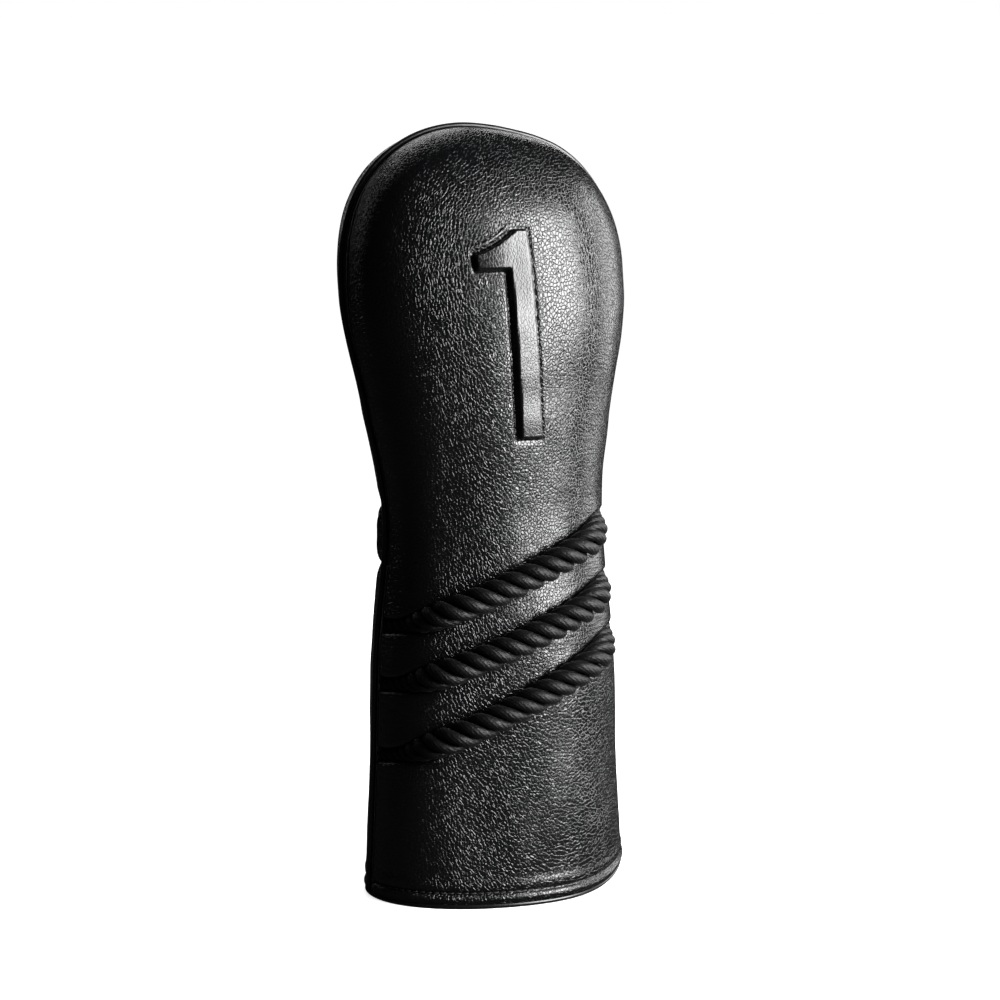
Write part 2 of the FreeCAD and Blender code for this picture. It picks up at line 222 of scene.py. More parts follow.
def numeral_outline():
    """The numeral one, upright: a bar with a flag, its top edge a shallow arc. Points in x and z."""
    low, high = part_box("numeral_filler")
    base = low[2] - NUMERAL_EDGE - 1.0 * MM
    top = high[2] + NUMERAL_EDGE
    right = high[0] + NUMERAL_EDGE + 0.1 * MM
    stem, flag, shoulder = 10.6 * MM, 13.5 * MM, 6.1 * MM
    flag_low, flag_high = top - 16.6 * MM, top - 9.5 * MM
    tip = right - stem - flag
    arc = []
    steps = 10
    sag = 1.3 * MM
    for step in range(steps + 1):
        share = step / steps
        x = tip + (right - shoulder - tip) * share
        z = flag_high + (top - flag_high) * share - sag * 4 * share * (1 - share)
        arc.append((x, z))
    inner = right - stem
    corners = [(right, top), (right, base), (inner, base), (inner, flag_low), (tip, flag_low)]
    return np.array(arc + corners), base


def signed_distance(points, outline):
    """Distance from the outline, negative inside."""
    best = np.full(points.shape[:-1], 1.0)
    inside = np.zeros(points.shape[:-1], bool)
    for a, b in zip(outline, np.roll(outline, -1, axis=0)):
        edge = b - a
        share = np.clip(((points - a) @ edge) / (edge @ edge), 0, 1)
        best = np.minimum(best, np.linalg.norm(points - a - share[..., None] * edge, axis=-1))
        crosses = (a[1] > points[..., 1]) != (b[1] > points[..., 1])
        rise = np.where(crosses, (points[..., 1] - a[1]) / (b[1] - a[1] + 1e-12), 0)
        inside ^= crosses & (points[..., 0] < a[0] + rise * edge[0])
    return np.where(inside, -best, best)


NUMERAL, NUMERAL_BASE = numeral_outline()


def numeral_distance(point):
    """Distance of the wall's points from the leaning numeral's edge, negative inside."""
    upright = point[..., 0] + (point[..., 2] - NUMERAL_BASE) * NUMERAL_LEAN
    return signed_distance(np.stack([upright, point[..., 2]], -1), NUMERAL)


def relief(point):
    """Height of the raised numeral, with a pressed groove at its foot and a ridge round its flag."""
    away = numeral_distance(point)
    raised = RELIEF * (1 - smooth(-0.95 * MM, 0.25 * MM, away))
    groove = 0.5 * MM * np.exp(-((away - 0.9 * MM) / (0.7 * MM)) ** 2)
    left_of_stem = smooth(2 * MM, -2 * MM, point[..., 0] + 8 * MM)
    near_top = smooth(-16 * MM, -9 * MM, point[..., 2] - NUMERAL[:, 1].max())
    ridge = 0.35 * MM * np.exp(-((away - 2.6 * MM) / (0.55 * MM)) ** 2) * (left_of_stem * near_top)
    return raised - groove + ridge


# --- mesh helpers ---------------------------------------------------------------------------------

def new_piece(name, points, faces, smooth_faces=True):
    """Visual piece on the cover's only body."""
    mesh = bpy.data.meshes.new(name)
    mesh.from_pydata([tuple(point) for point in points], [], faces)
    mesh.validate()
    if smooth_faces:
        mesh.shade_smooth()
    piece = bpy.data.objects.new(name, mesh)
    bpy.context.scene.collection.objects.link(piece)
    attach(piece, "root")
    return piece


def mark(piece, name, values):
    """Keep a share per vertex on the mesh, for its material."""
    attribute = piece.data.attributes.new(name, "FLOAT", "POINT")
    attribute.data.foreach_set("value", np.asarray(values, np.float32).ravel())


def grid_faces(rows, columns, closed=False, first=0, flip=False):
    """Quads of a grid whose points are stored row by row."""
    faces = []
    last = columns if closed else columns - 1
    for row in range(rows - 1):
        for column in range(last):
            after = (column + 1) % columns
            quad = [row * columns + column, row * columns + after,
                    (row + 1) * columns + after, (row + 1) * columns + column]
            quad = [first + index for index in quad]
            faces.append(quad[::-1] if flip else quad)
    return faces


def spread(stops, pitches):
    """Values from the first stop to the last, with its own pitch between each two stops."""
    values = [stops[0]]
    for low, high, pitch in zip(stops, stops[1:], pitches):
        count = max(1, round(abs(high - low) / pitch))
        values += [low + (high - low) * step / count for step in range(1, count + 1)]
    return np.array(values)


def crown_levels(pitch):
    """Levels over the crown at even steps of the climb, in degrees, up to its very top."""
    climbs = np.radians(np.arange(pitch, 90.001, pitch))
    return HEAD + (HEIGHT - HEAD) * np.sin(climbs)


def bumps(points, wavelength, seed):
    """Smooth noise of about -1 to 1 at each point."""
    flat = points.reshape(-1, 3) / wavelength + seed
    values = [noise.noise(Vector(point)) for point in flat]
    to_full_range = 1.6
    return np.array(values).reshape(points.shape[:-1]) * to_full_range


def run_of(line):
    """Length along the line up to each of its points."""
    steps = np.linalg.norm(np.diff(line, axis=0), axis=1)
    return np.concatenate([[0], np.cumsum(steps)])


def points_at(line, run, at):
    """Points of the line at these lengths along it."""
    return np.stack([np.interp(at, run, line[:, axis]) for axis in range(3)], -1)


def unit(vectors):
    """The vectors, row by row, at length 1."""
    return vectors / np.linalg.norm(vectors, axis=1, keepdims=True)


# --- leather panels -------------------------------------------------------------------------------

SEAM_EDGE = 1.2 * MM
SEAM_BEND = 5 * MM  # the leather starts to turn in this far from the seam
FOLDS = (  # x, height, half width, half height and rise, in millimetres: hollows (-) and swells (+)
    (-22, 34, 8, 22, -0.7),
    (-4, 26, 8, 24, 0.5),
    (-18, 92, 20, 60, -2.0),
    (18, 70, 22, 60, 0.8),
    (-13, 190, 15, 75, 1.0),
    (24, 44, 14, 26, 0.9),
    (-30, 170, 11, 34, -1.0),
    (12, 120, 14, 8, 0.5),
    (40, 190, 8, 26, -1.0),
    (-20, 240, 14, 30, 0.6),
    (36, 250, 16, 26, 0.7),
)


def seam_roll(point):
    """How far the leather turns in beside the piping, deeper on the front of the head."""
    share = np.clip((SEAM_BEND - np.abs(point[..., 1])) / (SEAM_BEND - SEAM_EDGE), 0, 1)
    deep = np.where(point[..., 1] < 0, 2.0 + 0.9 * smooth(0.240, 0.300, point[..., 2]), 2.0)
    steepest = 0.999
    return deep * MM * (1 - np.sqrt(1 - share ** 2 * steepest))


def folds(point):
    """Broad hollows and swells of the soft front."""
    total = 0.0
    for x, z, wide, high, rise in FOLDS:
        reach = ((point[..., 0] / MM - x) / wide) ** 2 + ((point[..., 2] / MM - z) / high) ** 2
        total = total + rise * MM * np.exp(-reach)
    return total


def unevenness(point, broad, seed, fine_seed):
    """Soft hand-sewn unevenness in metres: broad millimetres over 42 mm, and a little over 13 mm."""
    soft = broad * bumps(point, 42 * MM, seed) + 0.12 * bumps(point, 13 * MM, fine_seed)
    return soft * MM


def off_seam(point):
    """0 at the side seams and 1 away from them."""
    return smooth(3 * MM, 15 * MM, np.abs(point[..., 1]))


def hem_shape(level):
    """The stitched row near the hem, and the puffed bands under and over it."""
    stitch = -1.0 * MM * np.exp(-((level - HEM_STITCH) / (0.6 * MM)) ** 2)
    band = 0.8 * MM * np.exp(-((level - 4.4 * MM) / (1.7 * MM)) ** 2)
    above = 0.5 * MM * np.exp(-((level - HEM_STITCH - 3.2 * MM) / (2.4 * MM)) ** 2)
    return stitch + band + above


def front_panel():
    """Front leather, with a finer mesh from the numeral's foot to the start of the crown."""
    fine, coarse = 0.46, 1.4
    low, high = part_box("numeral_filler")
    low_angle = math.degrees(math.acos((low[0] - 6 * MM) / HALF_WIDTHS[-1]))
    high_angle = math.degrees(math.acos((high[0] + 8 * MM) / HALF_WIDTHS[-1]))
    stops = [180, 360 - low_angle, 360 - high_angle, 360]
    angles = np.radians(spread(stops, [coarse, fine, coarse]))
    levels = spread([HEM, 14 * MM, low[2] - 3 * MM, HEAD], [0.5 * MM, 1.0 * MM, fine * MM])
    crown = HEAD + (HEIGHT - HEAD) * np.sin(np.radians(spread([0, 30, 80, 90], [0.42, 1.2, 0.6])))
    levels = np.concatenate([levels, crown[1:]])
    angle, level = np.meshgrid(angles, levels)
    point = wall(angle, level)
    out = relief(point) + hem_shape(level) - press(angle, level) - seam_roll(point)
    out = out + (unevenness(point, 0.45, 3.1, 9.7) + folds(point)) * off_seam(point)
    points = wall(angle, level, out)
    piece = new_piece("front_leather", points.reshape(-1, 3), grid_faces(*angle.shape))
    mark(piece, "numeral", smooth(0.3 * MM, -0.8 * MM, numeral_distance(point)))
    beside = smooth(4 * MM, 26 * MM, point[..., 0]) * smooth(92 * MM, 108 * MM, point[..., 2])
    mark(piece, "pulled", beside * smooth(178 * MM, 160 * MM, point[..., 2]))
    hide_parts("front_panel")
    return piece


def gather(angle, level):
    """Back panel at the waist: drawn in along two stitched rows, puffed and puckered between them."""
    middle, half = (ELASTIC_LOW + ELASTIC_HIGH) / 2, (ELASTIC_HIGH - ELASTIC_LOW) / 2
    puffed, tight = 1.3 * MM, 1.9 * MM
    away = np.abs(level - middle)
    share = np.clip(away / half, 0, 1)
    between = puffed * (1 - share ** 2) - tight * share ** 6
    beyond = -tight * np.clip(1 - (away - half) / (8 * MM), 0, 1) ** 2
    drawn = np.where(away <= half, between, beyond)
    degrees = np.degrees(angle)
    wander = 3.0 * np.sin(degrees / 9.0) + 1.6 * np.sin(level / (7 * MM) + degrees / 5.0)
    pucker = np.sin(degrees * 1.05 + wander) + 0.5 * np.sin(degrees * 1.9 + 2 * wander)
    reach = np.where(away <= half, 1.0, np.exp(-(away - half) / (9 * MM)))
    return (drawn + 0.42 * MM * pucker * reach) * np.clip(4 * np.sin(angle), 0, 1)


def back_panel():
    """Back leather, with a finer mesh at the gathers."""
    angles = np.radians(spread([0, 180], [1.0]))
    stops = [HEM, 14 * MM, 130 * MM, 186 * MM, HEAD]
    levels = spread(stops, [0.5 * MM, 1.3 * MM, 0.6 * MM, 1.3 * MM])
    levels = np.concatenate([levels, crown_levels(1.0)])
    angle, level = np.meshgrid(angles, levels)
    point = wall(angle, level)
    puff = 0.8 * MM * np.exp(-((point[..., 1] - 11 * MM) / (7 * MM)) ** 2)
    out = gather(angle, level) + hem_shape(level) - seam_roll(point)
    out = out + puff * smooth(0.235, 0.300, level)
    out = out + unevenness(point, 0.5, 17.3, 5.2) * off_seam(point)
    points = wall(angle, level, out)
    piece = new_piece("back_leather", points.reshape(-1, 3), grid_faces(*angle.shape))
    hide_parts("back_panel")
    return piece


# --- tubes: piping, rope strands, stitches --------------------------------------------------------

def tube_rings(line, sides, radii, around, wide=1.0, lobes=0, lobe_depth=0.0, lobe_turns=0.0):
    """Rings of points round a line.

    Each ring starts on its side vector, and wide stretches it across that. Lobes are ridges that
    run along the tube and twist round it.
    """
    ahead = unit(np.gradient(line, axis=0))
    first = unit(sides - ahead * np.sum(sides * ahead, axis=1, keepdims=True))
    second = wide * np.cross(ahead, first)
    turn = np.linspace(0, 2 * math.pi, around, endpoint=False)
    radius = np.broadcast_to(np.asarray(radii, float).reshape(-1, 1), (len(line), around)).copy()
    if lobes:
        phase = lobes * (turn[None] + lobe_turns * run_of(line)[:, None])
        radius -= lobe_depth * (1 - np.abs(np.cos(phase / 2)))
    cosine, sine = np.cos(turn)[None, :, None], np.sin(turn)[None, :, None]
    ring = first[:, None] * cosine + second[:, None] * sine
    return line[:, None] + ring * radius[..., None]


def tube_mesh(rings, first=0):
    """Points and faces of a closed tube with flat ends."""
    rows, around = rings.shape[:2]
    faces = grid_faces(rows, around, closed=True, first=first)
    faces.append([first + index for index in range(around)][::-1])
    faces.append([first + (rows - 1) * around + index for index in range(around)])
    return list(rings.reshape(-1, 3)), faces


def piping(name, node, thick):
    """Tube up one seam, over the crown and down the other: the leather roll or the cord in it."""
    levels = np.concatenate([spread([HEM, HEAD], [2 * MM]), crown_levels(1.5)])
    centre_out = (0.3 + 0.8 * smooth(0.215, 0.28, levels) - 0.7 * smooth(0.300, 0.332, levels)) * MM
    left = wall(math.pi, levels, centre_out)
    right = wall(0.0, levels[:-1], centre_out[:-1])
    seam = np.concatenate([left, right[::-1]])
    run = run_of(seam)
    pitch = 1.2 * MM
    line = points_at(seam, run, np.linspace(0, run[-1], round(run[-1] / pitch) + 1))
    side = np.tile([0.0, 1.0, 0.0], (len(line), 1))
    radius = thick / 2 + 0.05 * MM * bumps(line, 9 * MM, 2.0)
    points, faces = tube_mesh(tube_rings(line, side, radius, 16))
    piece = new_piece(name, points, faces)
    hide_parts(node)
    return piece


HELIX_SHARE = 0.66  # radius on which the strands run, as a share of the rope's
STRAND_SHARE = 0.345  # a strand's own radius, also as a share of the rope's
STRAND_WIDE = 1.18  # the strands are pressed together, wider along the rope than they are deep
YARNS = 11
YARN_RIDGE = 0.24 * MM
YARN_LAY = 60 * MM


def rope_strands(node, level, rise):
    """Three strands twisted together, each with the ridges of its own yarns."""
    angle = np.radians(np.linspace(181.5, 358.5, 400))
    centre = wall(angle, level_on(angle, level, rise), rope_out(angle))
    run = run_of(centre)
    at = np.linspace(0, run[-1], round(run[-1] / (0.55 * MM)))
    line = points_at(centre, run, at)
    radius = np.interp(at, run, rope_radius(angle))
    ahead = unit(np.gradient(line, axis=0))
    flatter_sides = 1.6
    outward = line * [1 / flatter_sides, 1, 0]
    outward = unit(outward - ahead * np.sum(outward * ahead, axis=1, keepdims=True))
    across = np.cross(ahead, outward)
    points, faces = [], []
    start = random.uniform(0, 2 * math.pi)
    lay = ROPE_LAY * (radius / ROPE_RADIUS) ** 0.8  # the turns crowd together where the rope thins
    twist = np.cumsum(2 * math.pi * (at[1] - at[0]) / lay)
    for turn in range(3):
        spin = start + turn * 2 * math.pi / 3 + twist
        side = outward * np.cos(spin)[:, None] + across * np.sin(spin)[:, None]
        helix = line + side * (radius * HELIX_SHARE)[:, None]
        rings = tube_rings(helix, side, radius * STRAND_SHARE, 44, STRAND_WIDE,
                           YARNS, YARN_RIDGE, -2 * math.pi / YARN_LAY)
        more, quads = tube_mesh(rings, len(points))
        points += more
        faces += quads
    piece = new_piece(f"{node}_yarn", points, faces)
    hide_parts(node)
    return piece


def stitch_row(points, faces, level, first_angle, last_angle, out, length, pitch, radius):
    """Short threads lying along the wall, each dipping into the leather at both ends."""
    angle = np.radians(np.linspace(first_angle, last_angle, 400))
    run = run_of(wall(angle, level, 0))
    count = round(run[-1] / pitch)
    around, along_thread = 8, 7
    share = np.linspace(-1, 1, along_thread)
    lift = out + radius * (0.9 - 1.5 * share ** 4)
    side = np.tile([0.0, 0.0, 1.0], (along_thread, 1))
    for number in range(count):
        start = (number + 0.15) * run[-1] / count
        at = np.linspace(start, start + length, along_thread)
        centre = wall(np.interp(at, run, angle), level, lift)
        rings = tube_rings(centre, side, radius * (1 - 0.35 * share ** 6), around)
        more, quads = tube_mesh(rings, len(points))
        points += more
        faces += quads


def hem_stitches():
    """Topstitches round the mouth, a row on the front and one on the back."""
    points, faces = [], []
    for first, last in ((182, 358), (2, 178)):
        stitch_row(points, faces, HEM_STITCH, first, last,
                   out=-0.75 * MM, length=2.6 * MM, pitch=3.3 * MM, radius=0.33 * MM)
    piece = new_piece("hem_thread", points, faces)
    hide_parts("hem_stitching")
    return piece


def waist_stitches():
    """The two rows that hold the elastic."""
    points, faces = [], []
    for level in (ELASTIC_LOW, ELASTIC_HIGH):
        stitch_row(points, faces, level, 6, 174,
                   out=-1.75 * MM, length=2.4 * MM, pitch=3.0 * MM, radius=0.35 * MM)
    piece = new_piece("waist_thread", points, faces)
    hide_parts("waist_stitching")
    return piece


# --- hem binding, padding and lining --------------------------------------------------------------

def hem_binding():
    """Rolled leather edge round the mouth: a rounded band, flat where it stands."""
    outer, inner = 0.25 * MM, -(PADDED + LEATHER)
    bend = 1.0 * MM
    profile = []
    for centre, sweep in ((outer - bend, range(-90, 91, 18)), (inner + bend, range(90, 271, 30))):
        for degrees in sweep:
            turn = math.radians(degrees)
            z = HEM / 2 + (HEM / 2) * math.sin(turn)
            profile.append((centre + bend * math.cos(turn), z))
    angles = np.radians(np.arange(0, 360, 1.5))
    rings = np.stack([wall(angles, z, out) for out, z in profile])
    faces = grid_faces(len(profile), len(angles), closed=True)
    first = (len(profile) - 1) * len(angles)
    for column in range(len(angles)):
        after = (column + 1) % len(angles)
        faces.append([first + column, first + after, after, column])
    piece = new_piece("hem_roll", rings.reshape(-1, 3), faces)
    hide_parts("hem_binding")
    return piece


def closed_layer(name, node, outer, inner):
    """Closed piece between two grids of points with the same rows and columns."""
    rows, columns = outer.shape[:2]
    shift = rows * columns
    faces = grid_faces(rows, columns) + grid_faces(rows, columns, first=shift, flip=True)
    rim = list(range(columns)) + [row * columns + columns - 1 for row in range(1, rows)]
    rim += [(rows - 1) * columns + column for column in range(columns - 2, -1, -1)]
    rim += [row * columns for row in range(rows - 2, 0, -1)]
    for here, after in zip(rim, rim[1:] + rim[:1]):
        faces.append([after, here, here + shift, after + shift])
    points = np.concatenate([outer.reshape(-1, 3), inner.reshape(-1, 3)])
    piece = new_piece(name, points, faces)
    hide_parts(node)
    return piece


def elastic_band():
    """Elastic behind the gathers: it is drawn up and puckered with the leather that it is sewn to."""
    angles = np.radians(spread([8, 172], [1.5]))
    levels = spread([ELASTIC_LOW, ELASTIC_HIGH], [1.3 * MM])
    angle, level = np.meshgrid(angles, levels)
    gap, thick = 0.1 * MM, 1.0 * MM
    outside = gather(angle, level) - LEATHER - gap
    outer = wall(angle, level, outside)
    inner = wall(angle, level, outside - thick)
    return closed_layer("elastic_band", "waist_elastic", outer, inner)


def numeral_board():
    """Foam board under the raised numeral, its cut edges a little rounded."""
    node = NODES["numeral_filler"]
    corners = [node.matrix_world @ vertex.co for vertex in node.data.vertices]
    faces = [list(face.vertices) for face in node.data.polygons]
    piece = new_piece("numeral_board", corners, faces, False)
    board = bmesh.new()
    board.from_mesh(piece.data)
    bmesh.ops.remove_doubles(board, verts=board.verts, dist=0.01 * MM)
    inner_edges = [edge for edge in board.edges if len(edge.link_faces) == 2]
    sharp = [edge for edge in inner_edges if edge.calc_face_angle() > math.radians(50)]
    bmesh.ops.bevel(board, geom=sharp, offset=0.4 * MM, segments=2, affect="EDGES",
                    clamp_overlap=True)
    board.to_mesh(piece.data)
    board.free()
    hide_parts("numeral_filler")
    return piece


def soft_shell(name, node, insets, bottom, top, first_angle, last_angle, rough=0.0):
    """Closed soft layer between two insets of the wall. It follows the ropes' dents and the gathers."""
    outside, inside = insets
    angles = np.radians(spread([first_angle, last_angle], [2.5]))
    levels = spread([bottom, min(top, HEAD)], [2.5 * MM])
    if top > HEAD:
        levels = np.concatenate([levels, crown_levels(3.0)])
    angle, level = np.meshgrid(angles, levels)
    dent = press(angle, level)
    if first_angle >= 180 and outside < PADDED:
        dent = dent - folds(wall(angle, level))
    drawn = np.clip(-gather(angle, level), 0, None) if outside < PADDED else 0.0
    uneven = rough * bumps(wall(angle, level), 5 * MM, 4.4) if rough else 0.0
    outer = wall(angle, level, -outside - dent - drawn)
    inner = wall(angle, level, -inside - dent + uneven)
    return closed_layer(name, node, outer, inner)


# --- materials ------------------------------------------------------------------------------------

def material(name, colour, roughness):
    """New material, its node tree and its shader."""
    made = bpy.data.materials.new(name)
    made.use_nodes = True
    shader = made.node_tree.nodes["Principled BSDF"]
    shader.inputs["Base Color"].default_value = (*colour, 1)
    shader.inputs["Roughness"].default_value = roughness
    return made, made.node_tree, shader


def link(tree, source, target):
    tree.links.new(source, target)


def texture(tree, kind, scale, coordinates, **values):
    """Texture node. The values are for its sockets, or for its own settings."""
    node = tree.nodes.new(kind)
    node.inputs["Scale"].default_value = scale
    for key, value in values.items():
        if key in node.inputs:
            node.inputs[key].default_value = value
        else:
            setattr(node, key, value)
    link(tree, coordinates, node.inputs["Vector"])
    return node


def math_node(tree, operation, first, second, third=None):
    """Math node whose inputs are numbers or other nodes' outputs."""
    node = tree.nodes.new("ShaderNodeMath")
    node.operation = operation
    for slot, value in enumerate((first, second, third)):
        if value is None:
            continue
        if isinstance(value, (int, float)):
            node.inputs[slot].default_value = value
        else:
            link(tree, value, node.inputs[slot])
    return node.outputs[0]


def ramp(tree, value, low, high, to_low, to_high):
    """Smooth step of the value from one range to the other."""
    node = tree.nodes.new("ShaderNodeMapRange")
    node.interpolation_type = "SMOOTHSTEP"
    ends = {"From Min": low, "From Max": high, "To Min": to_low, "To Max": to_high}
    for socket, number in ends.items():
        node.inputs[socket].default_value = number
    link(tree, value, node.inputs["Value"])
    return node.outputs["Result"]


def bump(tree, shader, height, distance):
    """Fine relief of the surface: height 1 stands out by the distance."""
    node = tree.nodes.new("ShaderNodeBump")
    node.inputs["Distance"].default_value = distance
    node.inputs["Strength"].default_value = 1.0
    link(tree, height, node.inputs["Height"])
    link(tree, node.outputs["Normal"], shader.inputs["Normal"])


def object_coordinates(tree, warp=0.0, warp_scale=0.0):
    """Place on the object in metres, shifted about by the warp so that patterns look less regular."""
    source = tree.nodes.new("ShaderNodeTexCoord").outputs["Object"]
    if not warp:
        return source
    wobble = texture(tree, "ShaderNodeTexNoise", warp_scale, source, Detail=2.0)
    shift = tree.nodes.new("ShaderNodeVectorMath")
    shift.operation = "MULTIPLY_ADD"
    link(tree, wobble.outputs["Color"], shift.inputs[0])
    shift.inputs[1].default_value = (warp, warp, warp)
    link(tree, source, shift.inputs[2])
    return shift.outputs[0]


def attribute_node(tree, name):
    """The share that mark() keeps on the mesh."""
    node = tree.nodes.new("ShaderNodeAttribute")
    node.attribute_name = name
    return node.outputs["Fac"]


def scaled(tree, source, scale, turn=0.0):
    """Coordinates turned about Y and then scaled."""
    node = tree.nodes.new("ShaderNodeMapping")
    node.inputs["Rotation"].default_value = (0, turn, 0)
    node.inputs["Scale"].default_value = scale
    link(tree, source, node.inputs["Vector"])
    return node.outputs[0]


def pebbled_leather():
    """Black pebbled hide: flat cells of about 1.3 mm with thin creases between them.

    The raised numeral is calmer, and on the right of the neck the grain is pulled into long lines.
    """
    made, tree, shader = material("pebbled_leather", (0.0022, 0.0022, 0.0025), 0.36)
    where = object_coordinates(tree, 0.6 * MM, 420)
    upright = scaled(tree, where, (1, 1, 0.78))
    cells = texture(tree, "ShaderNodeTexVoronoi", 760, upright, feature="DISTANCE_TO_EDGE")
    small = texture(tree, "ShaderNodeTexVoronoi", 1700, where, feature="DISTANCE_TO_EDGE")
    fine = texture(tree, "ShaderNodeTexNoise", 2600, where, Detail=3.0)
    creases = ramp(tree, cells.outputs["Distance"], 0.0, 0.15, 0.0, 1.0)
    dome = ramp(tree, cells.outputs["Distance"], 0.0, 0.45, 0.0, 1.0)
    wrinkles = ramp(tree, small.outputs["Distance"], 0.0, 0.16, 0.0, 1.0)
    pebbles = math_node(tree, "MULTIPLY_ADD", dome, 0.24, creases)
    pebbles = math_node(tree, "MULTIPLY_ADD", wrinkles, 0.05, pebbles)
    stretched = scaled(tree, where, (0.22, 0.22, 1.0), math.radians(25))
    lines = texture(tree, "ShaderNodeTexNoise", 700, stretched, Detail=3.0, Roughness=0.6)
    pulled = attribute_node(tree, "pulled")
    long_lines = math_node(tree, "MULTIPLY", lines.outputs["Fac"], 6.0)
    mixed = tree.nodes.new("ShaderNodeMix")
    link(tree, math_node(tree, "MULTIPLY", pulled, 0.6), mixed.inputs[0])
    link(tree, pebbles, mixed.inputs[2])
    link(tree, long_lines, mixed.inputs[3])
    calm = math_node(tree, "MULTIPLY_ADD", attribute_node(tree, "numeral"), -0.80, 1.0)
    height = math_node(tree, "MULTIPLY", mixed.outputs[0], calm)
    height = math_node(tree, "MULTIPLY_ADD", fine.outputs["Fac"], 0.06, height)
    bump(tree, shader, height, 0.105 * MM)
    patches = texture(tree, "ShaderNodeTexNoise", 45, where, Detail=3.0)
    rough = ramp(tree, patches.outputs["Fac"], 0.3, 0.7, 0.19, 0.24)
    thin = ramp(tree, cells.outputs["Distance"], 0.02, 0.13, 0.04, 0.0)
    link(tree, math_node(tree, "MULTIPLY_ADD", thin, calm, rough), shader.inputs["Roughness"])
    return made


def smooth_leather():
    """Thinner and nearly smooth leather of the piping and the hem."""
    made, tree, shader = material("smooth_leather", (0.0022, 0.0022, 0.0025), 0.36)
    where = object_coordinates(tree, 0.8 * MM, 500)
    cells = texture(tree, "ShaderNodeTexVoronoi", 1300, where, feature="DISTANCE_TO_EDGE")
    fine = texture(tree, "ShaderNodeTexNoise", 3000, where, Detail=3.0)
    height = math_node(tree, "MULTIPLY_ADD", fine.outputs["Fac"], 0.5, cells.outputs["Distance"])
    bump(tree, shader, height, 0.02 * MM)
    rough = ramp(tree, fine.outputs["Fac"], 0.3, 0.7, 0.26, 0.34)
    link(tree, rough, shader.inputs["Roughness"])
    return made


def rope_yarn():
    """Dull black yarn with a fibrous surface."""
    made, tree, shader = material("rope_yarn", (0.0022, 0.0022, 0.0026), 0.5)
    where = object_coordinates(tree)
    fuzz = texture(tree, "ShaderNodeTexNoise", 1700, where, Detail=4.0)
    fibre = texture(tree, "ShaderNodeTexNoise", 900, where, Detail=3.0)
    height = math_node(tree, "MULTIPLY_ADD", fuzz.outputs["Fac"], 0.7, fibre.outputs["Fac"])
    bump(tree, shader, height, 0.26 * MM)
    rough = ramp(tree, fibre.outputs["Fac"], 0.3, 0.7, 0.36, 0.50)
    link(tree, rough, shader.inputs["Roughness"])
    shader.inputs["Specular IOR Level"].default_value = 0.22
    shader.inputs["Sheen Weight"].default_value = 0.02
    shader.inputs["Sheen Roughness"].default_value = 0.4
    return made


def thread():
    """Black sewing thread."""
    made, tree, shader = material("thread", (0.003, 0.003, 0.0034), 0.5)
    where = object_coordinates(tree)
    twist = texture(tree, "ShaderNodeTexNoise", 4000, where, Detail=2.0)
    bump(tree, shader, twist.outputs["Fac"], 0.1 * MM)
    return made


def woven(name, colour, pitch):
    """Matt woven yarn with threads at this pitch."""
    made, tree, shader = material(name, colour, 0.85)
    where = object_coordinates(tree)
    threads = texture(tree, "ShaderNodeTexWave", 1 / pitch / 20, where, bands_direction="Z")
    fuzz = texture(tree, "ShaderNodeTexNoise", 2500, where, Detail=4.0)
    height = math_node(tree, "MULTIPLY_ADD", fuzz.outputs["Fac"], 0.8, threads.outputs["Fac"])
    bump(tree, shader, height, 0.3 * MM)
    shader.inputs["Sheen Weight"].default_value = 0.3
    return made


def plush():
    """Soft pile in small clumps."""
    made, tree, shader = material("plush", (0.03, 0.03, 0.034), 0.9)
    where = object_coordinates(tree, 2 * MM, 300)
    pile = texture(tree, "ShaderNodeTexNoise", 1400, where, Detail=5.0)
    clumps = texture(tree, "ShaderNodeTexVoronoi", 380, where)
    height = math_node(tree, "MULTIPLY_ADD", pile.outputs["Fac"], 1.2, clumps.outputs["Distance"])
    bump(tree, shader, height, 0.9 * MM)
    shader.inputs["Sheen Weight"].default_value = 0.6
    return made


def foam():
    """Grey open-celled foam."""
    made, tree, shader = material("foam", (0.2, 0.2, 0.21), 0.95)
    where = object_coordinates(tree)
    cells = texture(tree, "ShaderNodeTexVoronoi", 1500, where)
    bump(tree, shader, cells.outputs["Distance"], 0.3 * MM)
    return made


def dress(piece, made):
    piece.data.materials.clear()
    piece.data.materials.append(made)


# --- the scene ------------------------------------------------------------------------------------

def set_camera():
    """Long lens a metre and a half away, a little above the cover and to its left."""
    azimuth, elevation, distance = math.radians(-20), math.radians(8.5), 1.5
    aim = Vector((0, 0, 0.1675))
    aside, above = 0.00227, 0.00277
    data = bpy.data.cameras.new("camera")
    data.sensor_width = 36
    data.lens = 123.7
    camera = bpy.data.objects.new("camera", data)
    level = math.cos(elevation)
    back = Vector((math.sin(azimuth) * level, -math.cos(azimuth) * level, math.sin(elevation)))
    right = (-back).cross(Vector((0, 0, 1))).normalized()
    up = right.cross(-back)
    place = aim + back * distance
    look = (-back + right * aside + up * above).normalized()
    turn = look.to_track_quat("-Z", "Y").to_matrix().to_4x4()
    roll = Matrix.Rotation(math.radians(-0.2), 4, "Z")
    camera.matrix_world = Matrix.Translation(place) @ turn @ roll
    bpy.context.scene.collection.objects.link(camera)
    bpy.context.scene.camera = camera


